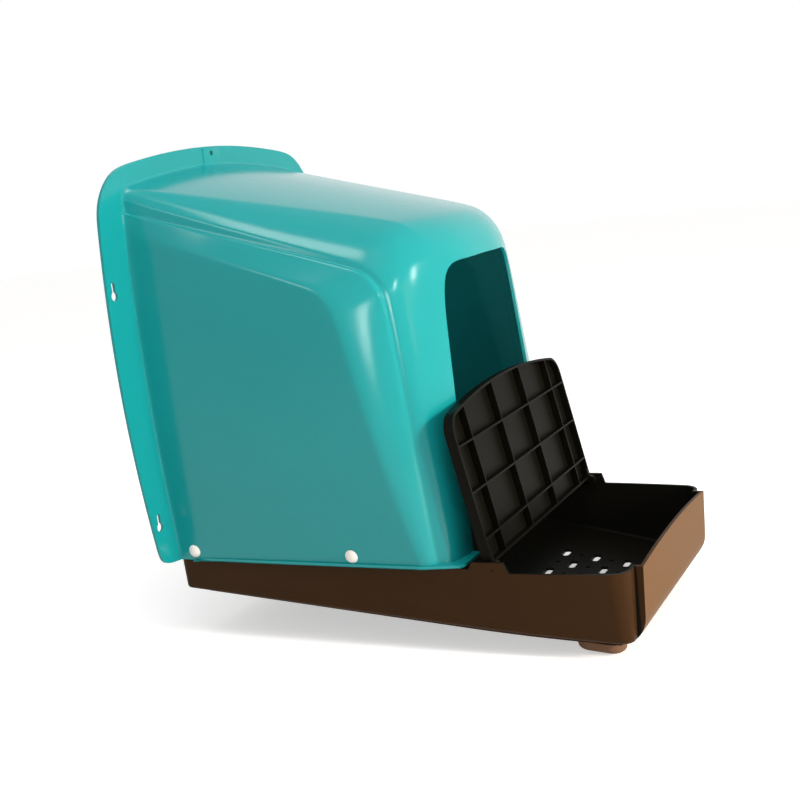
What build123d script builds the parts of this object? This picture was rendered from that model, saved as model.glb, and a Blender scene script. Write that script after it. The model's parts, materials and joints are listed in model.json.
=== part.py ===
from build123d import *
import math
import os

# A wall-hung roll-away nest box for hens: a moulded hood with a wall flange, riveted to a
# base tray whose floor runs down to an egg trough, and a ribbed lid hinged over the trough.
# Millimetres. X is across, -Y is the front, +Z is up. The origin is on the wall plane, on the
# centre line, level with the hood's rim. The lid is drawn open, leaning on the hood.

# Hood, crown: the roof and the rounded front, drawn as two plan sections.
HOOD_WALL = 3.0
CROWN_REAR_HALF_LOW = 147.0     # half width behind the wall plane, at the rim
CROWN_REAR_HALF_HIGH = 157.0    # the same at the upper section
CROWN_FRONT_HALF_LOW = 143.0    # half width at the front, at the rim
CROWN_FRONT_HALF_HIGH = 108.0   # the same at the upper section
CROWN_DEPTH_LOW = 311.0         # wall to front, at the rim
CROWN_DEPTH_HIGH = 292.0        # wall to front, at the upper section
CROWN_CORNER_R = 80.0           # front corners in plan
CROWN_HIGH_Z = 420.0            # height of the upper section
ROOF_TOP = 381.5                # roof ridge at the wall
ROOF_FALL = 0.271               # drop per millimetre towards the front
ROOF_ARCH_R = 738.0             # roof arch across
ROOF_EDGE_R = 28.0              # rounding from the roof to the sides and front

# Hood, side panels: proud of the crown, bulged between rim and roof.
PANEL_RIM_HALF = 151.5          # half width at the rim, at the wall
PANEL_DRAW_IN = 0.009           # loss of half width per millimetre towards the front
PANEL_BULGE_R = 1800.0
PANEL_WIDEST_Z = 190.0
PANEL_REF_HALF = 158.0          # where the panel's own outline is given
PANEL_TOP_Z = 325.5
PANEL_TOP_FALL = 0.334
PANEL_FRONT = 264.0
PANEL_FRONT_LEAN = 0.195
PANEL_CORNER_R = 45.0
PANEL_EDGE_R = 6.0
SHOULDER_REF_HALF = 132.0       # where the panel's shoulder meets the crown
SHOULDER_TOP_Z = 343.0
SHOULDER_TOP_FALL = 0.30
SHOULDER_FRONT = 278.0
SHOULDER_FRONT_LEAN = 0.11
SHOULDER_CORNER_R = 48.0

# Hood, rim lip and front opening.
LIP_OUT = 2.0
LIP_HIGH = 2.4
OPENING_RIM_HALF = 104.0
OPENING_TOP_HALF = 80.0
OPENING_TOP_Z = 262.0
OPENING_ARCH = 4.0
OPENING_CORNER_R = 18.0

# Wall flange with its screw hole and keyholes.
FLANGE_T = 3.0
FLANGE_UP = 18.5                # above the roof ridge
FLANGE_TOP_R = 830.0
FLANGE_OUT = 36.4               # beyond the hood's widest
FLANGE_WIDEST_Z = 205.0
FLANGE_SIDE_R = 1150.0
FLANGE_BOTTOM_Z = 4.0
FLANGE_CORNER_R = 58.0
FLANGE_FOOT_R = 5.0
FLANGE_FLARE_R = 12.0           # rounding from the sides into the flange
SCREW_DROP = 7.5                # below the flange's top
SCREW_D = 5.0
SCREW_PAD_HALF = 14.0
SCREW_PAD_T = 1.2
KEY_Z = (269.0, 41.0)           # upper and lower pair
KEY_IN = 10.5                   # from the flange's edge
KEY_ENTRY_D = 9.0
KEY_SLOT_W = 4.8
KEY_RISE = 11.0

# Base tray.
TRAY_WALL = 3.0
TRAY_GAP = 0.4                  # hood wall to tray wall
TRAY_UPSTAND = 22.0             # tray wall inside the hood
TRAY_UPSTAND_FRONT = 246.0
TRAY_REAR_R = 7.0
LEDGE_OUT = 3.0                 # ledge under the hood's rim, at the wall
NOSE_BACK = 11.0                # where the nose starts, behind the hood's front
NOSE_OUT = 142.0                # beyond the hood's front
NOSE_HALF = 134.0
NOSE_R = 19.0
NOSE_LEAN = 0.04
NOSE_RIM_Z = -3.7
NOSE_ARCH = 6.0
NOSE_ARCH_HALF = 120.0
NOSE_PANEL_PROUD = 8.0          # raised face of the front wall
NOSE_PANEL_HALF = 113.0
SADDLE_Z = -0.4                 # tray rim under the hood's front legs
EAR_OUT = 1.0                   # beyond the hood's front
EAR_LONG = 33.0
EAR_TOP_Z = 6.5
EAR_STEP = 4.0
BOTTOM_WALL_Z = -39.0           # underside at the wall plane
BOTTOM_FALL = 0.0868
BOTTOM_R = 4.0
PLINTH_HIGH = 7.2               # step under the tray's side walls
PLINTH_IN = 14.0
BOTTOM_NOSE_R = 28.0            # the underside's rise into the front wall
FLOOR_WALL_Z = -3.8             # nest floor at the wall plane
FLOOR_FALL = 0.15
FLOOR_T = 3.0
FLOOR_R = 3.0
HOLE_PITCH_X = 28.0
HOLE_PITCH_Y = 15.6
HOLE_COLUMNS = 5
HOLE_ROWS = 5
HOLE_BACK = 92.0                # pattern's middle behind the nose
SLOT_LONG = 19.0
SLOT_WIDE = 7.5
VENT_D = 4.5

# Egg lid: u runs up the lid from its hinge edge, n from its ribbed face to its smooth back.
LID_EDGE_GAP = 2.6              # lid to tray wall
LID_LONG_SIDE = 134.0
LID_LONG_MIDDLE = 148.0
LID_CORNER_R = 20.0
LID_DEEP = 9.5
LID_SKIN = 2.5
LID_SKIRT = 2.2
LID_RIB = 1.7
LID_RIB_FIRST = 22.2
LID_RIB_PITCH_U = 42.5
LID_RIBS_U = 3
LID_RIB_PITCH_X = 70.2
LID_RIBS_X = 4
LID_HINGE_OUT = 23.0            # ribbed face at the hinge edge, beyond the hood's front
LID_HINGE_Z = 3.9
LID_LEAN = 11.0                 # degrees back from upright, open
LUG_T = 5.5
LUG_R = 5.0
AXIS_DROP = 3.0                 # hinge axis below the lid's hinge edge, in the ribbed face
LID_SIDE_GAP = 0.4
PIN_R = 2.5
PIN_RUNNING_GAP = 0.08
PIN_END_GAP = 0.3
PIN_SKIN = 0.9                  # tray wall left outside the pin hole
BOSS_R = 4.8

# Snap rivets and feet.
RIVET_Y = (-21.0, -198.0)
RIVET_Z = 9.3
RIVET_HEAD_D = 13.0
RIVET_HEAD_T = 2.6
RIVET_SHANK_D = 5.8
RIVET_HOLE_D = 6.2
RIVET_COLLAR_D = 11.0
RIVET_COLLAR_T = 4.0
RIVET_TIP = 1.2
SEAT_GAP = 0.05
FOOT_X = 103.0
FOOT_BACK = 38.0                # behind the nose
FOOT_LONG = 44.0
FOOT_WIDE = 26.0
FOOT_HIGH = 9.5
FOOT_EDGE_R = 5.0

BELOW = -20.0                   # working depth below the rim, trimmed away
BEHIND = 60.0                   # working depth behind the wall, trimmed away
FAR = 700.0


def bulge_drop(distance, radius):
    """How far an arc of this radius falls away at this distance from its top."""
    return radius - math.sqrt(radius * radius - distance * distance)


def panel_half(y, z):
    """Half width of the hood over its side panels."""
    widest = PANEL_RIM_HALF + bulge_drop(PANEL_WIDEST_Z, PANEL_BULGE_R)
    return widest - bulge_drop(z - PANEL_WIDEST_Z, PANEL_BULGE_R) + PANEL_DRAW_IN * y


NOSE_START = CROWN_DEPTH_LOW - NOSE_BACK
NOSE_DEPTH = CROWN_DEPTH_LOW + NOSE_OUT
EAR_REAR = CROWN_DEPTH_LOW + EAR_OUT
EAR_FRONT = EAR_REAR + EAR_LONG
LID_HINGE_Y = -CROWN_DEPTH_LOW - LID_HINGE_OUT
FLANGE_HALF = panel_half(0, PANEL_WIDEST_Z) + FLANGE_OUT
FLANGE_TOP_Z = ROOF_TOP + FLANGE_UP
WALL_LEAN = (PANEL_WIDEST_Z - RIVET_Z) / PANEL_BULGE_R    # slope of panel and tray wall at the rim


def side_prism(points, half=FAR):
    """A solid with this outline in the YZ plane, running across in X."""
    with BuildSketch(Plane.YZ) as sketch:
        Polygon(*points, align=None)
    return extrude(sketch.sketch, half, both=True)


# Hood
def crown(inset):
    """The roof and rounded front, as a solid set in all round by a wall."""
    def plan(z):
        share = z / CROWN_HIGH_Z
        front_half = CROWN_FRONT_HALF_LOW + share * (CROWN_FRONT_HALF_HIGH - CROWN_FRONT_HALF_LOW)
        rear_half = CROWN_REAR_HALF_LOW + share * (CROWN_REAR_HALF_HIGH - CROWN_REAR_HALF_LOW)
        depth = CROWN_DEPTH_LOW + share * (CROWN_DEPTH_HIGH - CROWN_DEPTH_LOW)
        rear, front, front_y = rear_half - inset, front_half - inset, inset - depth
        with BuildSketch(Plane.XY.offset(z)) as sketch:
            Polygon((rear, BEHIND), (front, front_y), (-front, front_y), (-rear, BEHIND), align=None)
            fillet([v for v in sketch.vertices() if v.Y < 0], CROWN_CORNER_R - inset)
        return sketch.sketch.face()

    ridge = ROOF_TOP - inset
    half = CROWN_REAR_HALF_HIGH * 1.5
    edge = ridge + BEHIND * ROOF_FALL - bulge_drop(half, ROOF_ARCH_R)
    with BuildSketch(Plane.XZ.offset(-BEHIND)) as arch:
        with BuildLine():
            ThreePointArc((-half, edge), (0, ridge + BEHIND * ROOF_FALL), (half, edge))
            Polyline((half, edge), (half, -FAR), (-half, -FAR), (-half, edge))
        make_face()
    under_roof = extrude(arch.sketch.face(), FAR, dir=(0, -1, -ROOF_FALL))
    block = loft([plan(BELOW), plan(ROOF_TOP + BEHIND)], ruled=True) & under_roof

    def on_roof(point):
        height = ridge + ROOF_FALL * point.Y - bulge_drop(point.X, ROOF_ARCH_R)
        return abs(point.Z - height) < 0.05 and point.Y < BEHIND - 1

    edges = [e for e in block.edges() if all(on_roof(e @ t) for t in (0.2, 0.5, 0.8))]
    return fillet(edges, ROOF_EDGE_R - inset)


def panel_outline(x, inset, shift):
    """Side-view outline between the panel's edge (shift 0) and its shoulder (shift 1), at this x."""
    top_z = PANEL_TOP_Z + shift * (SHOULDER_TOP_Z - PANEL_TOP_Z) - inset
    fall = PANEL_TOP_FALL + shift * (SHOULDER_TOP_FALL - PANEL_TOP_FALL)
    front = PANEL_FRONT + shift * (SHOULDER_FRONT - PANEL_FRONT) - inset
    lean = PANEL_FRONT_LEAN + shift * (SHOULDER_FRONT_LEAN - PANEL_FRONT_LEAN)
    radius = PANEL_CORNER_R + shift * (SHOULDER_CORNER_R - PANEL_CORNER_R) - inset
    corner_z = (top_z - fall * front) / (1 - fall * lean)
    corner_y = -front + lean * corner_z
    with BuildSketch(Plane.YZ.offset(x)) as sketch:
        Polygon((BEHIND, BELOW), (BEHIND, top_z + fall * BEHIND), (corner_y, corner_z),
                (-front + lean * BELOW, BELOW), align=None)
        fillet(sketch.vertices().sort_by_distance((corner_y, corner_z, 0))[0], radius)
    return sketch.sketch.face()


def side_slab(inset):
    """Everything between the two bulged side surfaces."""
    def section(y):
        low, high = -120.0, 480.0
        with BuildSketch(Plane.XZ.offset(-y)) as sketch:
            with BuildLine():
                right = [(panel_half(y, z) - inset, z) for z in (low, PANEL_WIDEST_Z, high)]
                left = [(-x, z) for x, z in reversed(right)]
                ThreePointArc(*right)
                Line(right[2], left[0])
                ThreePointArc(*left)
                Line(left[2], right[0])
            make_face()
        return sketch.sketch.face()

    return loft([section(BEHIND), section(-FAR)], ruled=True)


def side_panels(inset):
    """The two side panels with their sloping shoulders, from the crown out to the bulged sides."""
    run = PANEL_REF_HALF - SHOULDER_REF_HALF
    outer_x = PANEL_REF_HALF + run
    inner = extrude(panel_outline(SHOULDER_REF_HALF, inset, 1.0), -SHOULDER_REF_HALF / 2)
    outer = loft([panel_outline(SHOULDER_REF_HALF, inset, 1.0), panel_outline(outer_x, inset, -1.0)],
                 ruled=True)
    right = (inner + outer) & side_slab(inset)

    def on_side(point):
        return abs(point.X - panel_half(point.Y, point.Z) + inset) < 0.05

    edges = [e for e in right.edges()
             if all(on_side(e @ t) for t in (0.1, 0.5, 0.9)) and (e @ 0.5).Z > BELOW + 1
             and (e @ 0.5).Y < BEHIND - 1]
    right = fillet(edges, PANEL_EDGE_R - inset / 2)
    return right, mirror(right, Plane.YZ)


def hood_body(inset):
    right, left = side_panels(inset)
    return crown(inset) + right + left


def flange_plate():
    top = FLANGE_TOP_Z
    side_x = FLANGE_HALF
    with BuildSketch(Plane.XZ) as sketch:
        with Locations((0, top - FLANGE_TOP_R)):
            Circle(FLANGE_TOP_R)
        for sign in (-1, 1):
            with Locations((sign * (side_x - FLANGE_SIDE_R), FLANGE_WIDEST_Z)):
                Circle(FLANGE_SIDE_R, mode=Mode.INTERSECT)
        with Locations((0, FLANGE_BOTTOM_Z + FAR / 2)):
            Rectangle(FAR, FAR, mode=Mode.INTERSECT)
        fillet([v for v in sketch.vertices() if v.Y > FLANGE_WIDEST_Z], FLANGE_CORNER_R)
        fillet([v for v in sketch.vertices() if v.Y < FLANGE_BOTTOM_Z + 1], FLANGE_FOOT_R)
    return extrude(sketch.sketch, FLANGE_T)


def keyhole(side, z):
    x = side * (FLANGE_HALF - bulge_drop(z - FLANGE_WIDEST_Z, FLANGE_SIDE_R) - KEY_IN)
    with BuildSketch(Plane.XZ.offset(-BEHIND)) as sketch:
        with Locations((x, z)):
            Circle(KEY_ENTRY_D / 2)
        with Locations((x, z + KEY_RISE)):
            Circle(KEY_SLOT_W / 2)
        with Locations((x, z + KEY_RISE / 2)):
            Rectangle(KEY_SLOT_W, KEY_RISE)
    return extrude(sketch.sketch, 2 * BEHIND)


def opening():
    """The hens' way in: wider at the rim, with an arched top and rounded corners."""
    spread = (OPENING_RIM_HALF - OPENING_TOP_HALF) / OPENING_TOP_Z
    low_half = OPENING_RIM_HALF - spread * BELOW
    with BuildSketch(Plane.XZ.offset(CROWN_DEPTH_LOW - CROWN_CORNER_R - HOOD_WALL)) as sketch:
        with BuildLine():
            ThreePointArc((-OPENING_TOP_HALF, OPENING_TOP_Z - OPENING_ARCH), (0, OPENING_TOP_Z),
                          (OPENING_TOP_HALF, OPENING_TOP_Z - OPENING_ARCH))
            Polyline((OPENING_TOP_HALF, OPENING_TOP_Z - OPENING_ARCH), (low_half, BELOW),
                     (-low_half, BELOW), (-OPENING_TOP_HALF, OPENING_TOP_Z - OPENING_ARCH))
        make_face()
        fillet([v for v in sketch.vertices() if v.Y > OPENING_TOP_Z / 2], OPENING_CORNER_R)
    return extrude(sketch.sketch, CROWN_DEPTH_LOW)


def rivet_plane(side, y):
    """On the hood's outer face at a rivet, facing straight out of the panel."""
    outward = Vector(side, -PANEL_DRAW_IN, -WALL_LEAN)
    return Plane(origin=(side * panel_half(y, RIVET_Z), y, RIVET_Z), x_dir=(0, 1, 0), z_dir=outward)


def rivet_hole(side, y):
    plane = rivet_plane(side, y)
    return plane * Pos(0, 0, -RIVET_HEAD_D) * Cylinder(RIVET_HOLE_D / 2, 4 * RIVET_HEAD_D)


def flare(hood):
    """Rounds the valley between the side panels and the flange."""
    def in_valley(edge):
        on_flange = all(abs((edge @ t).Y + FLANGE_T) < 0.02 for t in (0.1, 0.5, 0.9))
        middle = edge @ 0.5
        on_side = abs(abs(middle.X) - panel_half(-FLANGE_T, middle.Z)) < 1.0
        return on_flange and on_side and middle.Z > FLANGE_BOTTOM_Z + 1

    return fillet([e for e in hood.edges() if in_valley(e)], FLANGE_FLARE_R)


def make_hood():
    outer = hood_body(0)
    inner = hood_body(HOOD_WALL)
    lip = hood_body(-LIP_OUT) & side_prism([(0, 0), (0, LIP_HIGH), (-FAR, LIP_HIGH), (-FAR, 0)])
    outside = side_prism([(0, 0), (0, FAR), (-FAR, FAR), (-FAR, 0)])
    hood = flare((outer & outside) + flange_plate()) + lip
    hood = hood + Pos(0, -FLANGE_T - SCREW_PAD_T / 2, (ROOF_TOP + FLANGE_TOP_Z) / 2 - 2) * Box(
        2 * SCREW_PAD_HALF, SCREW_PAD_T, FLANGE_TOP_Z - ROOF_TOP)
    hood = hood - inner - opening()
    for side in (-1, 1):
        for z in KEY_Z:
            hood -= keyhole(side, z)
        for y in RIVET_Y:
            hood -= rivet_hole(side, y)
    hood -= Pos(0, 0, FLANGE_TOP_Z - SCREW_DROP) * Rot(90, 0, 0) * Cylinder(SCREW_D / 2, 2 * BEHIND)
    return hood


# Base tray
def tray_half(y, z):
    """Half width of the tray's outside, back of its nose."""
    return panel_half(0, 0) - HOOD_WALL - TRAY_GAP + PANEL_DRAW_IN * y + WALL_LEAN * z


LID_HALF = tray_half(LID_HINGE_Y, 0) - TRAY_WALL - LID_EDGE_GAP


def tray_block(inset, proud=0.0, ledge=0.0):
    """The tray as a solid: leaning sides that draw in along a gentle arc to the nose."""
    def plan(z):
        grow = WALL_LEAN * z - inset
        start = (tray_half(-NOSE_START, 0) + grow, -NOSE_START)
        rear = (tray_half(0, 0) + grow + ledge, -inset)
        nose = (NOSE_HALF + grow, -NOSE_DEPTH - NOSE_LEAN * z + inset - proud)
        with BuildSketch(Plane.XY.offset(z)) as sketch:
            with BuildLine():
                Line(rear, start)
                TangentArc(start, nose, tangent=(start[0] - rear[0], start[1] - rear[1]))
                Line(nose, (-nose[0], nose[1]))
                TangentArc((-start[0], start[1]), (-nose[0], nose[1]),
                           tangent=(rear[0] - start[0], start[1] - rear[1]))
                Line((-start[0], start[1]), (-rear[0], rear[1]))
                Line((-rear[0], rear[1]), rear)
            make_face()
            fillet([v for v in sketch.vertices() if v.Y < -NOSE_START - 1], max(NOSE_R + grow, 1.0))
            fillet([v for v in sketch.vertices() if v.Y > -NOSE_START + 1], max(TRAY_REAR_R + grow, 1.0))
        return sketch.sketch.face()

    return loft([plan(TRAY_UPSTAND), plan(bottom_z(-NOSE_DEPTH) - BOTTOM_R)], ruled=True)


def bottom_z(y):
    return BOTTOM_WALL_Z + BOTTOM_FALL * y


def saddle_z(y):
    return SADDLE_Z


def floor_z(y):
    return FLOOR_WALL_Z + FLOOR_FALL * y


def above(line, lift=0.0):
    """Everything above a line z(y) that runs across the tray."""
    return side_prism([(0, line(0) + lift), (0, FAR), (-FAR, FAR), (-FAR, line(-FAR) + lift)])


def above_bottom(inset):
    """Everything above the tray's underside, which rises into the front wall on a large radius."""
    front = -NOSE_DEPTH - NOSE_PANEL_PROUD + inset
    wall_z = bottom_z(0) + inset
    low_y = (front - NOSE_LEAN * wall_z) / (1 + NOSE_LEAN * BOTTOM_FALL)
    low_z = bottom_z(low_y) + inset
    with BuildSketch(Plane.YZ) as sketch:
        Polygon((0, wall_z), (0, FAR), (front - NOSE_LEAN * FAR, FAR), (low_y, low_z), align=None)
        fillet(sketch.vertices().sort_by_distance((low_y, low_z, 0))[0], BOTTOM_NOSE_R - inset)
    return extrude(sketch.sketch, FAR, both=True)


def round_bottom(block, line, lift, radius):
    edges = [e for e in block.edges()
             if all(abs((e @ t).Z - line((e @ t).Y) - lift) < 0.05 for t in (0.1, 0.5, 0.9))]
    return fillet(edges, radius)


def rim_line():
    """Side view of the tray up to its rim."""
    deep = -FAR
    return side_prism([
        (0, deep), (0, TRAY_UPSTAND), (-TRAY_UPSTAND_FRONT, TRAY_UPSTAND),
        (-TRAY_UPSTAND_FRONT - TRAY_UPSTAND / 3, SADDLE_Z), (-EAR_REAR, SADDLE_Z),
        (-EAR_REAR - EAR_STEP, EAR_TOP_Z), (-EAR_FRONT, EAR_TOP_Z), (-EAR_FRONT - EAR_STEP, NOSE_RIM_Z),
        (-NOSE_DEPTH + NOSE_R, NOSE_RIM_Z), (-NOSE_DEPTH + NOSE_R, NOSE_RIM_Z + NOSE_ARCH),
        (-FAR, NOSE_RIM_Z + NOSE_ARCH), (-FAR, deep)])


def nose_arch():
    """What lies above the front wall's arched top edge."""
    with BuildSketch(Plane.XZ.offset(NOSE_DEPTH - NOSE_R)) as sketch:
        with BuildLine():
            Line((-FAR, NOSE_RIM_Z), (-NOSE_ARCH_HALF, NOSE_RIM_Z))
            ThreePointArc((-NOSE_ARCH_HALF, NOSE_RIM_Z), (0, NOSE_RIM_Z + NOSE_ARCH),
                          (NOSE_ARCH_HALF, NOSE_RIM_Z))
            Polyline((NOSE_ARCH_HALF, NOSE_RIM_Z), (FAR, NOSE_RIM_Z), (FAR, FAR), (-FAR, FAR),
                     (-FAR, NOSE_RIM_Z))
        make_face()
    return extrude(sketch.sketch, FAR)


def floor_holes():
    """Drain slots and round vents that take turns, in the floor of the trough."""
    cuts = []
    for column in range(HOLE_COLUMNS):
        for row in range(HOLE_ROWS):
            x = (column - (HOLE_COLUMNS - 1) / 2) * HOLE_PITCH_X
            y = HOLE_BACK - NOSE_DEPTH + (row - (HOLE_ROWS - 1) / 2) * HOLE_PITCH_Y
            with BuildSketch(Plane.XY.offset(floor_z(y) - 2 * FLOOR_T)) as sketch:
                with Locations((x, y)):
                    if (column + row) % 2:
                        Circle(VENT_D / 2)
                    else:
                        SlotOverall(SLOT_LONG, SLOT_WIDE)
            cuts.append(extrude(sketch.sketch, 4 * FLOOR_T))
    return cuts


def foot_shape(z_from, height):
    with BuildSketch(Plane.XY) as sketch:
        SlotOverall(FOOT_LONG, FOOT_WIDE, rotation=90)
    return Pos(0, 0, z_from) * extrude(sketch.sketch, height)


def foot_plane(side):
    """On the tray's underside at a foot, facing down."""
    y = FOOT_BACK - NOSE_DEPTH
    return Plane(origin=(side * FOOT_X, y, bottom_z(y)), x_dir=(side, 0, 0), z_dir=(0, BOTTOM_FALL, -1))


def lid_plane():
    lean = math.radians(LID_LEAN)
    return Plane(origin=(0, LID_HINGE_Y, LID_HINGE_Z), x_dir=(1, 0, 0),
                 z_dir=(0, -math.cos(lean), math.sin(lean)))


def hinge_axis():
    """Y and Z of the lid's hinge axis."""
    point = lid_plane().from_local_coords((0, -AXIS_DROP, 0))
    return point.Y, point.Z


def along_x(radius, x_from, x_to):
    y, z = hinge_axis()
    return Pos((x_from + x_to) / 2, y, z) * Rot(0, 90, 0) * Cylinder(radius, abs(x_to - x_from))


def pin_hole_end():
    y, z = hinge_axis()
    return tray_half(y, z) - PIN_SKIN


def nose_panel(inset):
    """The raised face of the front wall, as a solid."""
    face = tray_block(inset, NOSE_PANEL_PROUD) & above_bottom(inset)
    return face & Pos(0, -NOSE_DEPTH, 0) * Box(2 * (NOSE_PANEL_HALF - inset), 2 * NOSE_R, FAR)


def make_tray():
    walls = tray_block(0, ledge=LEDGE_OUT) & above(bottom_z, PLINTH_HIGH)
    walls = round_bottom(walls, bottom_z, PLINTH_HIGH, BOTTOM_R)
    walls = walls - above(saddle_z) + (tray_block(0) & above(saddle_z))
    plinth = tray_block(PLINTH_IN) & above(bottom_z)
    tray = (walls + plinth + nose_panel(0)) & rim_line()
    tray -= nose_arch()

    inside = tray_block(TRAY_WALL)
    nest = round_bottom(inside & above(floor_z), floor_z, 0, FLOOR_R)
    nest += nose_panel(TRAY_WALL) & above(floor_z)
    ledge_high = PLINTH_HIGH + TRAY_WALL
    under_floor = (inside & above(bottom_z, ledge_high)) + tray_block(PLINTH_IN + TRAY_WALL)
    under_floor -= above(floor_z, -FLOOR_T)
    for side in (-1, 1):
        under_floor -= foot_plane(side) * foot_shape(-FAR / 2, FAR / 2)
    tray = tray - nest - under_floor

    for side in (-1, 1):
        y, z = hinge_axis()
        face = LID_HALF + LID_SIDE_GAP
        tray += along_x(BOSS_R, side * face, side * (tray_half(y, z) - TRAY_WALL / 2))
        tray -= along_x(PIN_R + PIN_RUNNING_GAP, side * face, side * pin_hole_end())
        for y in RIVET_Y:
            tray -= rivet_hole(side, y)
    for cut in floor_holes():
        tray -= cut
    return tray


# Egg lid
def lid_outline(inset):
    half = LID_HALF - inset
    top, side = LID_LONG_MIDDLE - inset, LID_LONG_SIDE - inset
    with BuildSketch() as sketch:
        with BuildLine():
            Polyline((-half, side), (-half, inset), (half, inset), (half, side))
            ThreePointArc((half, side), (0, top), (-half, side))
        make_face()
        fillet([v for v in sketch.vertices() if v.Y > LID_LONG_SIDE / 2], LID_CORNER_R - inset)
    return sketch.sketch


def make_lid():
    lid = extrude(lid_outline(0), -LID_DEEP)
    pocket = extrude(lid_outline(LID_SKIRT), -(LID_DEEP - LID_SKIN))
    for k in range(LID_RIBS_X):
        x = (k - (LID_RIBS_X - 1) / 2) * LID_RIB_PITCH_X
        pocket -= Pos(x, 0, 0) * Box(LID_RIB, 3 * LID_LONG_MIDDLE, 3 * LID_DEEP)
    for k in range(LID_RIBS_U):
        u = LID_RIB_FIRST + k * LID_RIB_PITCH_U
        pocket -= Pos(0, u, 0) * Box(3 * LID_HALF, LID_RIB, 3 * LID_DEEP)
    lid -= pocket
    with BuildSketch(Plane.YZ) as lug:
        with BuildLine():
            rear = -LID_DEEP
            Polyline((-AXIS_DROP - LUG_R, 0), (-AXIS_DROP, rear / 2), (0, rear), (2 * LUG_R, rear),
                     (2 * LUG_R, 0), (-AXIS_DROP + LUG_R, 0))
            ThreePointArc((-AXIS_DROP + LUG_R, 0), (-AXIS_DROP, LUG_R), (-AXIS_DROP - LUG_R, 0))
        make_face()
    for side in (-1, 1):
        lid += Pos(side * (LID_HALF - LUG_T / 2), 0, 0) * extrude(lug.sketch, LUG_T / 2, both=True)
    lid = lid_plane() * lid
    for side in (-1, 1):
        lid -= along_x(PIN_R, side * (LID_HALF - 2 * LUG_T), side * (LID_HALF + LUG_T))
    return lid


def hinge_pin(side):
    return along_x(PIN_R, side * (LID_HALF - LUG_T), side * (pin_hole_end() - PIN_END_GAP))


# Rivets and feet
def rivet_stack():
    """Depth from the hood's face to the tray's inner face, square to the wall."""
    slope = math.sqrt(1 + WALL_LEAN * WALL_LEAN)
    return (HOOD_WALL + TRAY_GAP + TRAY_WALL) / slope


def rivet_stud(side, y):
    dome_r = (RIVET_HEAD_D ** 2 / 4 + RIVET_HEAD_T ** 2) / (2 * RIVET_HEAD_T)
    dome = Pos(0, 0, RIVET_HEAD_T - dome_r) * Sphere(dome_r)
    head = dome & (Pos(0, 0, RIVET_HEAD_T / 2) * Box(2 * RIVET_HEAD_D, 2 * RIVET_HEAD_D, RIVET_HEAD_T))
    depth = rivet_stack() + RIVET_COLLAR_T + RIVET_TIP
    shank = Pos(0, 0, -depth / 2) * Cylinder(RIVET_SHANK_D / 2, depth + 0.2)
    return rivet_plane(side, y) * Pos(0, 0, SEAT_GAP) * (head + shank)


def rivet_collar(side, y):
    middle = -rivet_stack() - RIVET_COLLAR_T / 2 - 2 * SEAT_GAP
    ring = Cylinder(RIVET_COLLAR_D / 2, RIVET_COLLAR_T) - Cylinder(RIVET_SHANK_D / 2, 2 * RIVET_COLLAR_T)
    return rivet_plane(side, y) * Pos(0, 0, middle) * ring


def front_foot(side):
    foot = foot_shape(0, FOOT_HIGH)
    foot = fillet(foot.faces().sort_by(Axis.Z)[-1].edges(), FOOT_EDGE_R)
    return foot_plane(side) * foot


parts = {"hood": make_hood(), "base_tray": make_tray(), "egg_lid": make_lid()}
for side, hand in ((-1, "left"), (1, "right")):
    parts["hinge_pin_" + hand] = hinge_pin(side)
    parts["front_foot_" + hand] = front_foot(side)
    for y, place in zip(RIVET_Y, ("rear", "front")):
        parts["rivet_stud_" + place + "_" + hand] = rivet_stud(side, y)
        parts["rivet_collar_" + place + "_" + hand] = rivet_collar(side, y)

os.makedirs("parts", exist_ok=True)
for name, part in parts.items():
    export_step(part, os.path.join("parts", name + ".step"))
    box = part.bounding_box()
    print(name, len(part.solids()), "solid, volume", round(part.volume), "valid", part.is_valid,
          [round(v, 1) for v in (*box.min, *box.max)])
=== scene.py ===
# %% [markdown]
# # A wall-hung nest box for a hen
# A moulded hood is riveted to a shallow base tray. The tray's floor slopes forward, so an egg rolls
# under a hinged lid into a trough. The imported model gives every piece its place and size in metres.
# Loading it first means that nothing has to be fitted by eye afterwards.

# %% Load the frame
import json
import math

import bmesh
import bpy
from mathutils import Matrix, Vector

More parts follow.
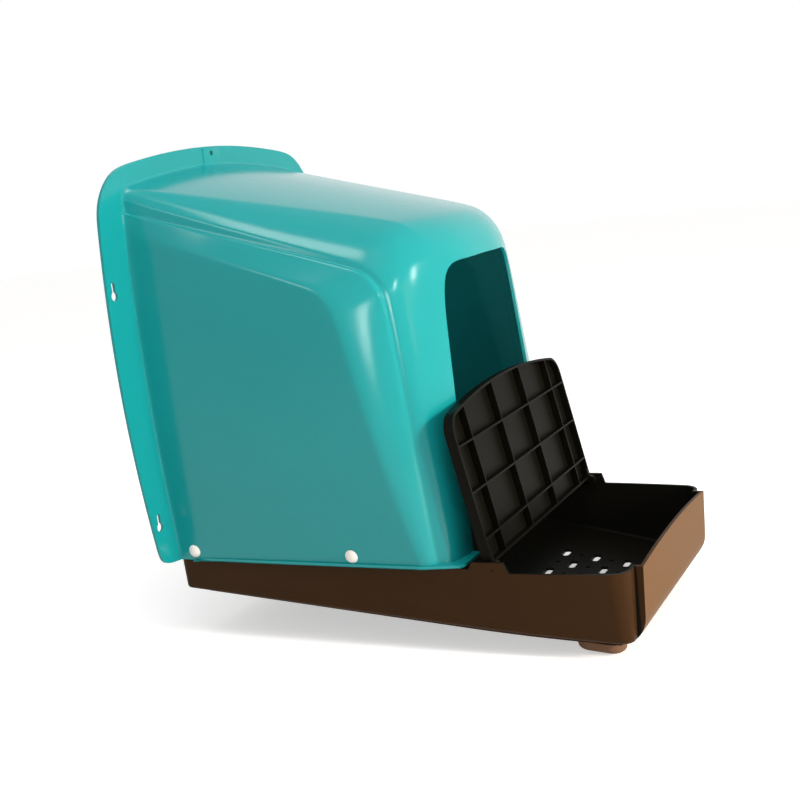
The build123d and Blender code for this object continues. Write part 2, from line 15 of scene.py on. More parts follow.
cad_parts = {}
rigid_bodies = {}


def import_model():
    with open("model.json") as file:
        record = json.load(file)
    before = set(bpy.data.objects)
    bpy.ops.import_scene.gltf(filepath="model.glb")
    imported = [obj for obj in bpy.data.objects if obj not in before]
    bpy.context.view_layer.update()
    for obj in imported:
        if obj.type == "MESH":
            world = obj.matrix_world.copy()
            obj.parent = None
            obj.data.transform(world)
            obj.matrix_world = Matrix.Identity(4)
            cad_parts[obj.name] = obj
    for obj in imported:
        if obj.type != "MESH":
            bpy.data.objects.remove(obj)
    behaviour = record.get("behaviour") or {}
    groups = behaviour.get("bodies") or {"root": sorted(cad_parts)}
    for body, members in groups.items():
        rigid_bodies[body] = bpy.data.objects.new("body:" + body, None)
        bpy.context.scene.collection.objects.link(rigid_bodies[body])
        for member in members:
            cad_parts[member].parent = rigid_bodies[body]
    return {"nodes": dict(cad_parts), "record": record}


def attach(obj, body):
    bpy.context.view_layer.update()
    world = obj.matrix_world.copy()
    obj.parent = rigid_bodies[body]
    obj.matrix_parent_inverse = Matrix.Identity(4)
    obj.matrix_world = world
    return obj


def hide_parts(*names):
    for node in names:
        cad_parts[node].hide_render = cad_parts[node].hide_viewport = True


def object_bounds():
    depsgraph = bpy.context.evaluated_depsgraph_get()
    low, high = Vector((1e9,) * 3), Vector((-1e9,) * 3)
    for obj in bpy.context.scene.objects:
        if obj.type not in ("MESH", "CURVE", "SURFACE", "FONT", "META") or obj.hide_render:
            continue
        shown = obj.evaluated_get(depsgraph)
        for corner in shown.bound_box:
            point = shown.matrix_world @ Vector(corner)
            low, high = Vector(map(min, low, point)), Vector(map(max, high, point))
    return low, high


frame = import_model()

CAD_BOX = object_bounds()
MM = 0.001
scene = bpy.context.scene
print("nodes:", sorted(frame["nodes"]))

# %% [markdown]
# ## Camera
# The photograph was taken from the front left, a little above the box, with the camera tipped to one
# side. A camera could be placed by eye, but its place, its three angles and its focal length were
# worked out from straight edges of the object, so that the two pictures line up.

# %% Camera
CAMERA_PLACE = (-1.0733, -0.7569, 0.3519)
CAMERA_AZIMUTH = math.radians(-62.11)
CAMERA_ELEVATION = math.radians(10.65)
CAMERA_ROLL = math.radians(-7.18)
LENS_MM = 54.8
SENSOR_MM = 36.0
RIGHT_ANGLE = math.radians(90)

camera = bpy.data.objects.new("camera", bpy.data.cameras.new("camera"))
camera.data.lens = LENS_MM
camera.data.sensor_width = SENSOR_MM
camera.matrix_world = (Matrix.Translation(CAMERA_PLACE) @ Matrix.Rotation(CAMERA_AZIMUTH, 4, "Z")
                       @ Matrix.Rotation(RIGHT_ANGLE - CAMERA_ELEVATION, 4, "X")
                       @ Matrix.Rotation(CAMERA_ROLL, 4, "Z"))
scene.collection.objects.link(camera)
scene.camera = camera
print("camera looks along", camera.matrix_world.to_quaternion() @ Vector((0, 0, -1)))

# %% [markdown]
# ## Helpers for materials
# Colours are written as the hex values that a colour picker shows. Blender calculates in linear
# light, so one function converts them. A second one adds a node, sets it and links it in one go. A
# third starts a material and puts what is even all over the surface on the shader's own sockets.

# %% Material helpers
def linear(code):
    """Turn an sRGB hex colour into linear red, green, blue and alpha."""
    parts = [int(code[i:i + 2], 16) / 255 for i in (1, 3, 5)]
    return [p / 12.92 if p <= 0.04045 else ((p + 0.055) / 1.055) ** 2.4 for p in parts] + [1.0]


def add_node(tree, kind, settings=None, links=None):
    """Add one node. Settings name a socket or a property, and links name a socket."""
    node = tree.nodes.new(kind)
    for name, value in (settings or {}).items():
        if isinstance(name, int) or name in node.inputs:
            node.inputs[name].default_value = value
        else:
            setattr(node, name, value)
    for name, socket in (links or {}).items():
        tree.links.new(socket, node.inputs[name])
    return node


def new_material(name, finish):
    """A material with a Principled shader, whose own sockets hold what is even all over."""
    material = bpy.data.materials.new(name)
    material.use_nodes = True
    shader = material.node_tree.nodes["Principled BSDF"]
    for socket, value in finish.items():
        shader.inputs[socket].default_value = value
    return material, material.node_tree, shader


print("mid grey in linear light:", [round(v, 3) for v in linear("#808080")[:3]])

# %% [markdown]
# ## Moulded plastics
# The hood is injection-moulded polypropylene from a polished mould: a clean colour, a broad soft
# gloss and a faint orange peel. Its inside, the tray and the lid come from a mould with a finer matt
# texture, so their gloss is wider. The rivets are natural nylon, a warm white with a small bright
# gloss, and the feet are an elastomer with hardly any gloss. A plain colour would look like paper, so
# the tone drifts a little over a hand's width, and a fine grain breaks up the gloss. The grain is drawn
# about a millimetre wide, coarser than the real one, so that it shows in the picture.

# %% Plastics
PLASTIC_IOR = 1.45
DRIFT_DETAIL = 3.0
GRAIN_DETAIL = 2.0
GRAIN_STRENGTH = 0.5


def moulded_plastic(name, light, dark, gloss, roughness, drift_mm=90, grain_mm=1.2, depth_mm=0.05):
    """Plastic as moulded: two close tones that drift, and a fine grain in the gloss."""
    finish = {"IOR": PLASTIC_IOR, "Roughness": roughness, "Specular IOR Level": gloss}
    material, tree, shader = new_material(name, finish)
    spot = add_node(tree, "ShaderNodeTexCoord").outputs["Object"]
    drift = add_node(tree, "ShaderNodeTexNoise",
                     {"Scale": 1 / (drift_mm * MM), "Detail": DRIFT_DETAIL}, {"Vector": spot})
    tone = add_node(tree, "ShaderNodeMix", {"data_type": "RGBA", 6: linear(dark), 7: linear(light)},
                    {"Factor": drift.outputs["Fac"]})
    grain = add_node(tree, "ShaderNodeTexNoise",
                     {"Scale": 1 / (grain_mm * MM), "Detail": GRAIN_DETAIL}, {"Vector": spot})
    bump = add_node(tree, "ShaderNodeBump", {"Strength": GRAIN_STRENGTH, "Distance": depth_mm * MM},
                    {"Height": grain.outputs["Fac"]})
    tree.links.new(tone.outputs[2], shader.inputs["Base Color"])
    tree.links.new(bump.outputs["Normal"], shader.inputs["Normal"])
    return material, tree, shader, tone.outputs[2]


TEAL = moulded_plastic("polypropylene_polished_teal", "#149293", "#138b8d", gloss=0.35, roughness=0.17,
                       drift_mm=140, grain_mm=1.6, depth_mm=0.015)[0]
TEAL_INSIDE = moulded_plastic("polypropylene_matt_teal", "#0a9394", "#098a8c",
                              gloss=0.1, roughness=0.55)[0]
CHARCOAL = moulded_plastic("polypropylene_satin_charcoal", "#100f0a", "#0c0b07",
                           gloss=0.05, roughness=0.42)[0]
NYLON = moulded_plastic("nylon_natural_white", "#f2ece6", "#ece4dc", gloss=0.5, roughness=0.35,
                        drift_mm=20, grain_mm=0.8, depth_mm=0.02)[0]
RUBBER = moulded_plastic("elastomer_pale_brown", "#785a44", "#6c4f3c", gloss=0.2, roughness=0.7,
                         drift_mm=20, grain_mm=0.8)[0]
print("plastics:", [m.name for m in bpy.data.materials])

# %% [markdown]
# The tray was moulded in brown. Its inside, where shade falls under the hood, gets a painted shade that
# is nearly black, and the raised panel on its nose, which faces the key lamp, gets a painted light, the
# palest tone of all. Three pieces could carry the three tones, but the tray is one moulding, so one
# material holds them. A face looks outwards when its normal points away from a spot in the middle of
# the tray, and the nose panel's face is what lies in front of all else and looks forward.

# %% Tray plastic
TRAY_MIDDLE = (0.0, -0.30, 0.085)
TRAY_REACH = 0.12
NOSE_PANEL_Y = -0.4545
NOSE_FACING = -0.7
# Painted shade: the near-black tone for the tray's inside, where shade falls.
INSIDE_PAINTED_SHADE = "#100f0b"
# Painted light: the pale tone for the nose panel, which faces the key lamp.
NOSE_PAINTED_LIGHT = "#5e3d13"

BROWN, tree, shader, brown = moulded_plastic("polypropylene_satin_brown_painted_shade_and_light", "#3a2511", "#33200e",
                                             gloss=0.06, roughness=0.42)
surface = add_node(tree, "ShaderNodeTexCoord")
from_middle = add_node(tree, "ShaderNodeVectorMath", {"operation": "SUBTRACT", 1: TRAY_MIDDLE},
                       {0: surface.outputs["Object"]})
facing = add_node(tree, "ShaderNodeVectorMath", {"operation": "DOT_PRODUCT"},
                  {0: from_middle.outputs["Vector"], 1: surface.outputs["Normal"]})
outside = add_node(tree, "ShaderNodeMath", {"operation": "GREATER_THAN", 1: TRAY_REACH},
                   {0: facing.outputs["Value"]})
depth = add_node(tree, "ShaderNodeSeparateXYZ", None, {"Vector": surface.outputs["Object"]})
in_front = add_node(tree, "ShaderNodeMath", {"operation": "LESS_THAN", 1: NOSE_PANEL_Y},
                    {0: depth.outputs["Y"]})
normal = add_node(tree, "ShaderNodeSeparateXYZ", None, {"Vector": surface.outputs["Normal"]})
forward = add_node(tree, "ShaderNodeMath", {"operation": "LESS_THAN", 1: NOSE_FACING},
                   {0: normal.outputs["Y"]})
nose_painted_light_mask = add_node(tree, "ShaderNodeMath", {"operation": "MULTIPLY"},
                   {0: in_front.outputs[0], 1: forward.outputs[0]})
is_brown = add_node(tree, "ShaderNodeMath", {"operation": "MAXIMUM"},
                    {0: outside.outputs[0], 1: in_front.outputs[0]})
# Faces that are neither outside nor in front get the painted shade instead of the brown.
body = add_node(tree, "ShaderNodeMix", {"data_type": "RGBA", 6: linear(INSIDE_PAINTED_SHADE)},
                {"Factor": is_brown.outputs[0], 7: brown})
# The forward faces of the nose panel get the painted light.
nose = add_node(tree, "ShaderNodeMix", {"data_type": "RGBA", 7: linear(NOSE_PAINTED_LIGHT)},
                {"Factor": nose_painted_light_mask.outputs[0], 6: body.outputs[2]})
tree.links.new(nose.outputs[2], shader.inputs["Base Color"])
print("tray plastic:", len(tree.nodes), "nodes")

# %% [markdown]
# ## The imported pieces
# The tray, the lid, the pins, the rivets and the feet already have the right shape. They could be
# modelled again, but then they would have to be fitted, so they stay and only get their plastic. The
# record says which plastic each one is made of.

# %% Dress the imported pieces
finishes = {"hood_plastic": TEAL, "tray_plastic": BROWN, "lid_plastic": CHARCOAL,
            "rivet_plastic": NYLON, "foot_elastomer": RUBBER}
for row in frame["record"]["subparts"]:
    piece = bpy.data.objects[row["node"]]
    piece.data.materials.clear()
    piece.data.materials.append(finishes[row["material_slot"]])

# %% [markdown]
# ## The hood
# The hood is one moulding: a roof and a rounded front, a sloping band that steps out to each side
# panel, and a flange that lies on the wall. It could be carved out of a block with booleans, but its
# soft edges need one flowing skin. So a flat grid is laid over half of it. Each column of the grid
# follows one line of the moulding, from the flange over the roof and down the front to the rim, and a
# subdivision surface rounds what lies between. The hood's sizes are in millimetres. The flange's
# outline and the side panels come first, because they are only arcs of large circles.

# %% Flange and side panels
WALL = 3.0
RIM_Z = 2.4
PANEL_START = -15.0
PANEL_HALF, PANEL_BULGE_R, PANEL_WIDEST_Z = 161.56, 1800.0, 190.0
PANEL_TAPER = 0.009
FLANGE_TOP, FLANGE_TOP_R = 400.0, 830.0
FLANGE_HALF, FLANGE_SIDE_R, FLANGE_WIDEST_Z = 198.0, 1150.0, 205.0
FLANGE_CORNER, FLANGE_CORNER_R = Vector((132.8, 330.5)), 58.0
FLANGE_TURN = [math.radians(turn) for turn in (80.1, 6.6)]
FLANGE_FOOT_Z = 2.5


def bulge_drop(distance, radius):
    """How far an arc of this radius falls away at this distance from its top."""
    return radius - math.sqrt(radius * radius - distance * distance)


def panel_half(y, z):
    """Half width of the hood over its bulged side panels."""
    return PANEL_HALF - bulge_drop(z - PANEL_WIDEST_Z, PANEL_BULGE_R) + PANEL_TAPER * y


def flange_edge(share):
    """Outer edge of the flange: 0 to 1 along the top, to 2 round the corner, to 3 down the side."""
    first, last = FLANGE_TURN
    if share <= 1:
        x = share * FLANGE_TOP_R * math.cos(first)
        return Vector((x, FLANGE_TOP - bulge_drop(x, FLANGE_TOP_R)))
    if share <= 2:
        turn = first + (last - first) * (share - 1)
        return FLANGE_CORNER + FLANGE_CORNER_R * Vector((math.cos(turn), math.sin(turn)))
    top = FLANGE_CORNER.y + FLANGE_CORNER_R * math.sin(last)
    z = top + (FLANGE_FOOT_Z - top) * (share - 2)
    return Vector((FLANGE_HALF - bulge_drop(z - FLANGE_WIDEST_Z, FLANGE_SIDE_R), z))


print("flange from", flange_edge(0), "round", flange_edge(1.5), "to", flange_edge(3))

# %% [markdown]
# Seen from the side, every line of the hood is the same figure: a sloping top, a rounded corner and a
# leaning front. Each could be drawn point by point, but a small class works the points out from a few
# sizes, so that one number moves a whole line. Its half width changes from the wall to the corner and
# on to the rim. With an ease below 1 it changes soon after the wall, as the crown's soft edge does.

# %% A line of the hood
TOP_SHARES = (0, 1 / 3, 2 / 3)
CORNER_TURNS = (0, 0.25, 0.5, 0.75)
FRONT_SHARES = (0.25, 0.5, 0.75, 0.97, 1)


class Line:
    """One line of the hood in side view: a sloping top, a rounded corner and a leaning front."""

    def __init__(self, top, fall, front, lean, radius, halves, ease=1.0):
        self.halves = halves
        self.ease = ease
        self.radius = radius
        corner_z = (top - fall * front) / (1 - fall * lean)
        self.corner = Vector((lean * corner_z - front, corner_z))
        to_wall = Vector((1.0, fall)).normalized()
        to_rim = Vector((-lean, -1.0)).normalized()
        half_turn = to_wall.angle(to_rim) / 2
        reach = radius / math.tan(half_turn)
        self.bend = [self.corner + to_wall * reach, self.corner + to_rim * reach]
        self.centre = self.corner + (to_wall + to_rim).normalized() * radius / math.sin(half_turn)
        self.start = Vector((PANEL_START, top + fall * PANEL_START))
        self.end = Vector((lean * RIM_Z - front, RIM_Z))

    def half(self, spot):
        """Half width at a point of the line, or the bulged panel where no widths are given."""
        if self.halves is None:
            return panel_half(spot.x, spot.y)
        wall, corner, rim = self.halves
        forward = min(spot.x / self.corner.x, 1.0) ** self.ease
        down = max(1 - spot.y / self.corner.y, 0.0)
        return wall + (corner - wall) * forward + (rim - corner) * down

    def spots(self, last_turn=1.0):
        """The points of the line: three on the top, five round the corner, five down the front."""
        arms = [bend - self.centre for bend in self.bend]
        side_view = [self.start.lerp(self.bend[0], share) for share in TOP_SHARES]
        side_view += [self.centre + arms[0].slerp(arms[1], turn) * self.radius
                      for turn in CORNER_TURNS + (last_turn,)]
        side_view += [self.bend[1].lerp(self.end, share) for share in FRONT_SHARES]
        return [Vector((self.half(spot), spot.x, spot.y)) for spot in side_view]


print("points in a line:", len(TOP_SHARES) + len(CORNER_TURNS) + 1 + len(FRONT_SHARES))

# %% [markdown]
# The lines run from the middle outwards: the ridge and the roof, the edge of the doorway, the eased
# edge of the crown, the riser that drops into the groove, and the band that slopes out to the panel.
# Two lines that lie close together make a tight edge, and two that lie apart make a soft one.

# %% Lines of the hood
# Each line: height at the wall, fall, reach of the front, lean, corner radius, half widths and ease.
ridge = Line(381.5, 0.271, 311.0, 0.0452, 55, (0, 0, 0))
roof = Line(379.8, 0.270, 310.6, 0.0452, 55, (50, 42, 54))
opening_edge = Line(374.7, 0.2614, 300.0, 0.042, 53, (100, 77, 104))
roof_edge = Line(367.5, 0.2373, 299.0, 0.048, 52, (151, 83, 115), 0.8)
roof_round = Line(366.0, 0.269, 296.5, 0.0716, 50, (151.5, 107.2, 130), 0.67)
riser_top = Line(363.6, 0.319, 291.5, 0.085, 47, (152.3, 123.5, 138), 0.7)
riser = Line(355.5, 0.339, 284.0, 0.085, 44, (152.8, 133, 140.3))
riser_foot = Line(342.8, 0.309, 281.0, 0.0916, 42, (152.8, 135, 141.3))
band_top = Line(344.6, 0.309, 279.8, 0.092, 40, (155.5, 138.5, 143.5))
panel_edge = Line(325.5, 0.334, 264.0, 0.195, 45, None)
print("ridge from", ridge.spots()[0], "to", ridge.spots()[-1])

# %% [markdown]
# A column is a line, a blend of two lines, or the panel's edge drawn in towards the panel's lower rear
# corner. The three columns over the doorway end their rounding a little early, which sets the height of
# the doorway's head. Where the band turns down to the rim it is a leg with an arched face, so its
# columns stand out there.

# %% Columns of the grid
DOOR_TURN = 0.93
LEG_ROWS = (4, 8)
LEG_BULGE = Vector((2.2, -1.4, 0.0))
ROOF_FLARE, BAND_FLARE, PANEL_FLARE = 2, 1.5, 1.2
PANEL_COLUMNS = ((0.976, 2.02), (0.8, 2.2), (0.6, 2.41), (0.4, 2.6), (0.2, 2.8), (0.05, 2.95),
                 (0.0, 3.0))
OPENING_COLUMN = 2


def between(inner, outer, share):
    """The points that lie between those of two lines."""
    return [a.lerp(b, share) for a, b in zip(inner, outer)]


def bulged(inner, outer, share):
    """Between two lines, but standing out from them where the band has turned down the leg."""
    first, last = LEG_ROWS
    arch = LEG_BULGE * 4 * share * (1 - share)
    return [spot + arch * min(max((row - first) / (last - first), 0.0), 1.0)
            for row, spot in enumerate(between(inner, outer, share))]


def on_panel(share):
    """The panel edge's line shrunk towards the panel's lower rear corner."""
    spots = []
    rear_z = RIM_Z if share else 0.0
    for spot in panel_edge.spots():
        y = PANEL_START + share * (spot.y - PANEL_START)
        z = rear_z + share * (spot.z - RIM_Z)
        spots.append(Vector((panel_half(y, z), y, z)))
    return spots


# Each column: its points, where it ends on the flange's edge, and how far it flares out.
eaves, shoulder, groove = roof_edge.spots(), riser_top.spots(), riser.spots()
band_inner, band_outer = band_top.spots(), panel_edge.spots()
columns = [(ridge.spots(DOOR_TURN), 0.0, ROOF_FLARE),
           (roof.spots(DOOR_TURN), 0.3, ROOF_FLARE),
           (opening_edge.spots(DOOR_TURN), 0.62, ROOF_FLARE),
           (between(opening_edge.spots(), eaves, 0.8), 0.9, ROOF_FLARE),
           (eaves, 0.97, ROOF_FLARE),
           (roof_round.spots(), 1.1, ROOF_FLARE),
           (shoulder, 1.22, ROOF_FLARE),
           (between(shoulder, groove, 0.8), 1.31, ROOF_FLARE),
           (groove, 1.35, ROOF_FLARE),
           (riser_foot.spots(), 1.46, ROOF_FLARE),
           (band_inner, 1.56, ROOF_FLARE),
           (bulged(band_inner, band_outer, 0.12), 1.66, ROOF_FLARE),
           (bulged(band_inner, band_outer, 0.42), 1.72, ROOF_FLARE),
           (bulged(band_inner, band_outer, 0.8), 1.8, BAND_FLARE),
           (band_outer, 1.92, PANEL_FLARE)]
columns += [(on_panel(size), share, PANEL_FLARE) for size, share in PANEL_COLUMNS]
print("hood columns:", len(columns))

# %% [markdown]
# Every column gains four points on the flange and its flare, and two for the small lip round the rim.
# The lip is narrow along the side and fades out at the wall. It is wider in front, where it runs
# straight past the groove to a square corner.

# %% Flange and lip of a column
FLARE_STEPS = ((0.0, 1.0), (1.5, 0.3), (5.0, 0.0))
SHORTEST_RUN = 0.001
LIP_OUT = 2.0
FRONT_LIP_OUT = 8.5
LIP_FADE = 3
LIP_CORNER = Vector((143.5, -307.0))
CORNER_COLUMN, SIDE_COLUMN = 5, 12


def flange_points(spots, share, flare):
    """From the flange's outer edge over the valley to where the hood's own lines begin."""
    run = spots[0] - spots[1]
    slope = run / run.y if run.y > SHORTEST_RUN else Vector((0, 1, 0))
    outer = flange_edge(share)
    root = spots[0] + slope * (-WALL - spots[0].y)
    out = Vector((outer.x - root.x, 0, outer.y - root.z)).normalized()
    points = [Vector((outer.x, -WALL, outer.y))]
    for forward, spread in FLARE_STEPS:
        points.append(root - slope * forward + out * flare * spread)
    return points


def lip_edge(column):
    """The lip's outer edge: square to the rim, but straight past the groove at the front corner."""
    if CORNER_COLUMN <= column < SIDE_COLUMN:
        share = (column - CORNER_COLUMN) / (SIDE_COLUMN - CORNER_COLUMN)
        return LIP_CORNER.lerp(lip_edge(SIDE_COLUMN), share)
    rim = columns[column][0][-1].to_2d()
    lip = FRONT_LIP_OUT if column < CORNER_COLUMN else LIP_OUT
    lip *= min((len(columns) - 1 - column) / LIP_FADE, 1.0)
    ahead = columns[max(column - 1, OPENING_COLUMN)][0][-1]
    behind = columns[min(column + 1, len(columns) - 1)][0][-1]
    along = (ahead - behind).to_2d().normalized()
    return rim + Vector((-along.y, along.x)) * lip


def lip_points(column):
    """The top and the foot of the lip's outer edge."""
    outer = lip_edge(column)
    return [Vector((outer.x, outer.y, RIM_Z)), Vector((outer.x, outer.y, 0))]


rows = [flange_points(spots, share, flare) + spots + lip_points(i)
        for i, (spots, share, flare) in enumerate(columns)]
print("points in a column:", len(rows[0]))

# %% [markdown]
# The grid operator gives all vertices and faces at once, and they only have to be moved to the
# columns' points. The faces of the doorway are taken out, and the half is mirrored. Edges of the lip
# get a crease, which keeps them crisp under subdivision, and so does the valley at the flange.

# %% Grid of the hood
last_column, last_row = len(rows) - 1, len(rows[0]) - 1
VALLEY_ROW = 1
RIM_ROW = last_row - 2
OPENING_ROW = 1 + len(FLARE_STEPS) + len(TOP_SHARES) + len(CORNER_TURNS)
LIP_CREASE = 1.0
VALLEY_CREASE = 0.95
MERGE = 0.02
LEVEL = 0.9


def grid_place(vert):
    """Column and row of a vertex of the flat grid, which reaches from -1 to 1 both ways."""
    return round((vert.co.x + 1) / 2 * last_column), round((vert.co.y + 1) / 2 * last_row)


def in_doorway(face):
    """Whether all corners of a face lie in the doorway."""
    spots = [place[v] for v in face.verts]
    return all(column <= OPENING_COLUMN and row >= OPENING_ROW for column, row in spots)


skin = bmesh.new()
bmesh.ops.create_grid(skin, x_segments=last_column, y_segments=last_row, size=1.0)
crease = skin.edges.layers.float.new("crease_edge")
place = {vert: grid_place(vert) for vert in skin.verts}
for edge in skin.edges:
    row = {place[v][1] for v in edge.verts}
    if row in ({RIM_ROW}, {RIM_ROW + 1}):
        edge[crease] = LIP_CREASE
    elif row == {VALLEY_ROW}:
        edge[crease] = VALLEY_CREASE
doorway = [face for face in skin.faces if in_doorway(face)]
for vert, (column, row) in place.items():
    vert.co = rows[column][row] * MM
bmesh.ops.delete(skin, geom=doorway, context="FACES")
bmesh.ops.remove_doubles(skin, verts=skin.verts, dist=MERGE * MM)
half_hood = skin.verts[:] + skin.edges[:] + skin.faces[:]
bmesh.ops.mirror(skin, geom=half_hood, axis="X", merge_dist=MERGE * MM)
bmesh.ops.recalc_face_normals(skin, faces=skin.faces)
level_faces = [face for face in skin.faces if abs(face.normal.z) > LEVEL]
roof_face = max(level_faces, key=lambda face: face.calc_center_median().z)
if roof_face.normal.z < 0:
    bmesh.ops.reverse_faces(skin, faces=skin.faces)
print("hood grid:", len(skin.faces), "faces")

# %% [markdown]
# The hood hangs on screws: two keyholes a side and one hole at the top, in a shallow pad. Four more
# holes take the rivets. Holes drawn in the grid would pull the soft surface around them, so they are
# cut through the finished wall by plain cylinders and bars, and the pad is joined on in the same way.

# %% Pad and cutters
SCREW_Z, SCREW_R = 392.5, 2.5
KEY_PLACES = [(185.7, 269.0), (175.7, 41.0)]
KEY_ENTRY_R, KEY_SLOT_R, KEY_RISE = 4.5, 2.4, 11.0
RIVET_PLACES = [(-21.0, 9.3), (-198.0, 9.3)]
RIVET_HOLE_R = 3.1
CUT_DEPTH = 30.0
HOLE_SIDES = 32
PAD_SIZE = (28.0, 2.4, 18.5)
PAD_Z = 388.75
PAD_BEVEL = 0.5
along_y = Matrix.Rotation(RIGHT_ANGLE, 4, "X")
along_x = Matrix.Rotation(RIGHT_ANGLE, 4, "Y")


def drill(mesh, radius, spot, turn):
    """Add a cylinder that cuts a hole of a radius in millimetres at a spot in metres."""
    bmesh.ops.create_cone(mesh, cap_ends=True, segments=HOLE_SIDES, radius1=radius * MM,
                          radius2=radius * MM, depth=CUT_DEPTH * MM,
                          matrix=Matrix.Translation(spot) @ turn)


def block(mesh, size, spot):
    """Add a block of a size in millimetres with its middle at a spot in metres."""
    stretch = Matrix.Diagonal([v * MM for v in size] + [1])
    bmesh.ops.create_cube(mesh, size=1.0, matrix=Matrix.Translation(spot) @ stretch)


def finished(name, mesh):
    """Turn a bmesh into an object of the scene."""
    piece = bpy.data.objects.new(name, bpy.data.meshes.new(name))
    mesh.to_mesh(piece.data)
    mesh.free()
    scene.collection.objects.link(piece)
    return piece


round_holes, slots, slot_ends = bmesh.new(), bmesh.new(), bmesh.new()
drill(round_holes, SCREW_R, Vector((0, 0, SCREW_Z * MM)), along_y)
rise = Vector((0, 0, KEY_RISE * MM))
for side in (-1, 1):
    for x, z in KEY_PLACES:
        entry = Vector((side * x, 0, z)) * MM
        drill(round_holes, KEY_ENTRY_R, entry, along_y)
        drill(slot_ends, KEY_SLOT_R, entry + rise, along_y)
        block(slots, (2 * KEY_SLOT_R, CUT_DEPTH, KEY_RISE), entry + rise / 2)
    for y, z in RIVET_PLACES:
        rivet = Vector((side * panel_half(y, z), y, z)) * MM
        drill(round_holes, RIVET_HOLE_R, rivet, along_x)

pad = bmesh.new()
block(pad, PAD_SIZE, Vector((0, -WALL * MM, PAD_Z * MM)))
face_edges = [e for e in pad.edges if all(v.co.y < -WALL * MM for v in e.verts)]
bmesh.ops.bevel(pad, geom=face_edges, offset=PAD_BEVEL * MM, affect="EDGES", segments=2, profile=0.5,
                material=-1)
tools = [("UNION", finished("screw_pad", pad))]
tools += [("DIFFERENCE", finished("cutter", mesh)) for mesh in (round_holes, slots, slot_ends)]
print("pad and cutters:", len(tools))

# %% [markdown]
# The skin is now subdivided and given the moulding's 3 mm wall. The modifiers could stay live, but the
# cutters would have to stay with them, so the result is taken as one plain mesh, and the helpers are
# removed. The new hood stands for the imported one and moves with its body.

# %% Wall and holes of the hood
ROUNDING_LEVELS = 3
SHARP_FROM = math.radians(40)

shell = finished("shell", skin)
shell.data.materials.append(TEAL)
shell.data.materials.append(TEAL_INSIDE)
rounding = shell.modifiers.new("rounding", "SUBSURF")
rounding.levels = rounding.render_levels = ROUNDING_LEVELS
thickness = shell.modifiers.new("thickness", "SOLIDIFY")
thickness.thickness = WALL * MM
thickness.offset = -1.0
thickness.material_offset = 1
for operation, tool in tools:
    step = shell.modifiers.new(operation, "BOOLEAN")
    step.operation = operation
    step.object = tool
    step.solver = "EXACT"
bpy.context.view_layer.update()
view = bpy.context.evaluated_depsgraph_get()
hood_mesh = bpy.data.meshes.new_from_object(shell.evaluated_get(view))
hood = bpy.data.objects.new("moulded_hood", hood_mesh)
scene.collection.objects.link(hood)
for helper in [shell] + [tool for operation, tool in tools]:
    bpy.data.objects.remove(helper)
hood.data.shade_smooth()
hood.data.set_sharp_from_angle(angle=SHARP_FROM)
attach(hood, "box")
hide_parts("hood")
print("hood:", len(hood.data.polygons), "faces")

# %% [markdown]
# ## Floor and room
# The box stands in front of plain white. More light would whiten the floor but bleach the plastic, so
# the floor takes the object's soft shadow and adds a glow that only the camera and mirrors see. The
# room is white to them too. For all other light it is bright in front of the box and dim behind it.
# Sizes and places are in metres again from here on.

# %% Floor and room
FLOOR_Z = CAD_BOX[0][2]
FLOOR_REACH = 6.0
FLOOR_GAP = 0.0005
FLOOR_GLOW = 0.5
ROOM_FRONT, ROOM_BACK = 0.8, 0.2
WHITE = linear("#ffffff")


def seen_directly(tree):
    """1 for the camera's rays and for mirrored or refracted ones, otherwise 0."""
    path = add_node(tree, "ShaderNodeLightPath")
    seen = add_node(tree, "ShaderNodeMath", {"operation": "MAXIMUM"},
                    {0: path.outputs["Is Camera Ray"], 1: path.outputs["Is Glossy Ray"]})
    seen = add_node(tree, "ShaderNodeMath", {"operation": "MAXIMUM"},
                    {0: seen.outputs[0], 1: path.outputs["Is Transmission Ray"]})
    return seen.outputs[0]


floor_mesh = bmesh.new()
bmesh.ops.create_grid(floor_mesh, x_segments=1, y_segments=1, size=FLOOR_REACH)
bmesh.ops.translate(floor_mesh, verts=floor_mesh.verts, vec=(0, 0, FLOOR_Z - FLOOR_GAP))
floor = finished("floor", floor_mesh)
paper, tree, shader = new_material("studio_paper", {"Roughness": 0.9, "Base Color": linear("#f4f3f1"),
                                                    "Emission Color": WHITE})
glow = add_node(tree, "ShaderNodeMath", {"operation": "MULTIPLY", 1: FLOOR_GLOW},
                {0: seen_directly(tree)})
tree.links.new(glow.outputs[0], shader.inputs["Emission Strength"])
floor.data.materials.append(paper)

world = bpy.data.worlds.new("studio")
world.use_nodes = True
scene.world = world
tree = world.node_tree
background = tree.nodes["Background"]
background.inputs["Color"].default_value = WHITE
sky = add_node(tree, "ShaderNodeTexCoord")
way = add_node(tree, "ShaderNodeSeparateXYZ", None, {"Vector": sky.outputs["Generated"]})
room = add_node(tree, "ShaderNodeMapRange",
                {"From Min": -1.0, "To Min": ROOM_FRONT, "To Max": ROOM_BACK},
                {"Value": way.outputs["Y"]})
strength = add_node(tree, "ShaderNodeMapRange", {"To Max": 1.0},
                    {"Value": seen_directly(tree), "To Min": room.outputs["Result"]})
tree.links.new(strength.outputs["Result"], background.inputs["Strength"])
print("floor at", round(FLOOR_Z, 4))

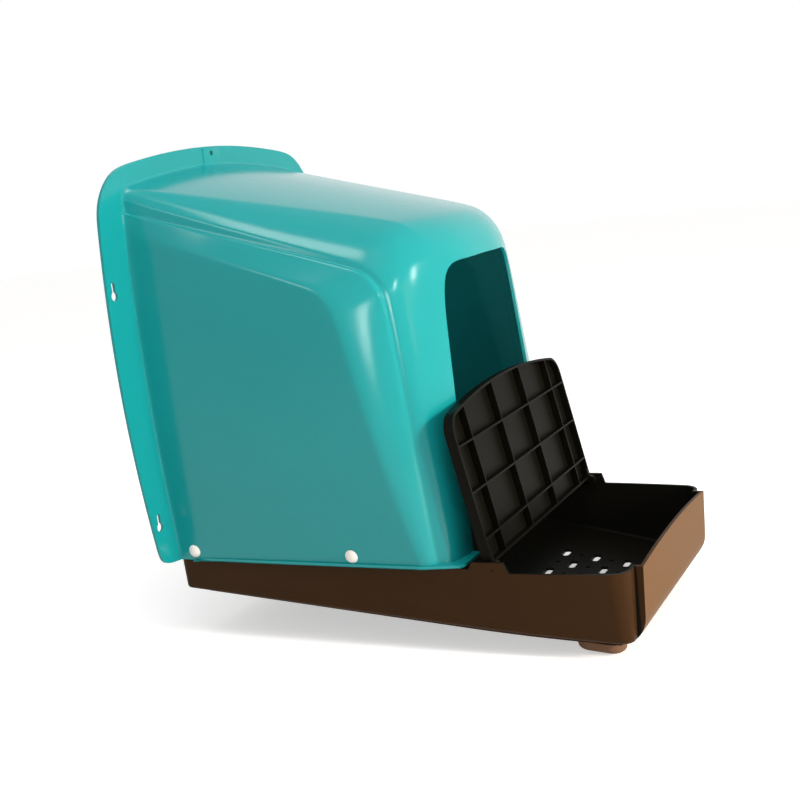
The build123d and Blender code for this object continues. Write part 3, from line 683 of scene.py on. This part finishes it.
# %% [markdown]
# ## Lamps
# Two lamps carry the light: a warm key in front and a fill from the upper left. They are hidden from
# mirrors, because their reflections would lie across the gloss. The other lamps are there for their
# reflections: each draws a highlight on a soft edge, which tells the eye how round the edge is. All
# of those but the top one add nothing else.

# %% Lamps
def soft_box(name, place, aim, size, power, colour="#ffffff", lights=True, mirrored=True):
    """A rectangular lamp that faces the point it is aimed at."""
    lamp = bpy.data.objects.new(name, bpy.data.lights.new(name, "AREA"))
    lamp.data.shape = "RECTANGLE"
    lamp.data.size, lamp.data.size_y = size
    lamp.data.energy = power
    lamp.data.color = linear(colour)[:3]
    lamp.location = place
    lamp.rotation_euler = (Vector(aim) - Vector(place)).to_track_quat("-Z", "Y").to_euler()
    lamp.visible_camera = False
    lamp.visible_diffuse = lights
    lamp.visible_glossy = mirrored
    scene.collection.objects.link(lamp)


soft_box("key_light", place=(-0.2, -2.0, 0.45), aim=(0, -0.3, 0.1), size=(0.3, 0.45), power=37,
         colour="#fff4e8", mirrored=False)
soft_box("corner_light", place=(-0.97, -2.16, 1.0), aim=(-0.13, -0.264, 0.254), size=(0.2, 0.32),
         power=6.2, lights=False)
soft_box("shoulder_light", place=(0.24, -2.37, 0.82), aim=(-0.11, -0.276, 0.262), size=(0.16, 0.42),
         power=7.4, lights=False)
soft_box("band_light", place=(-2.15, -1.16, 0.47), aim=(-0.15, -0.24, 0.22), size=(0.28, 0.5),
         power=7.2, lights=False)
soft_box("top_light", place=(-0.62, -0.07, 1.35), aim=(-0.13, -0.07, 0.32), size=(0.36, 0.2), power=2.3)
soft_box("fill_light", place=(-0.83, -0.62, 1.61), aim=(-0.13, -0.15, 0.3), size=(0.7, 0.7), power=8.8,
         mirrored=False)
soft_box("edge_light", place=(-1.79, 0.44, 1.16), aim=(-0.158, -0.188, 0.263), size=(0.3, 0.3),
         power=2.8, lights=False)
scene.view_settings.view_transform = "Standard"
print("lamps:", sorted(light.name for light in bpy.data.lights))

# %% [markdown]
# ## Sizes
# The dressed model is meant to stay in the box of the imported one, so that box is printed.

# %% Sizes
print("CAD box:", CAD_BOX)
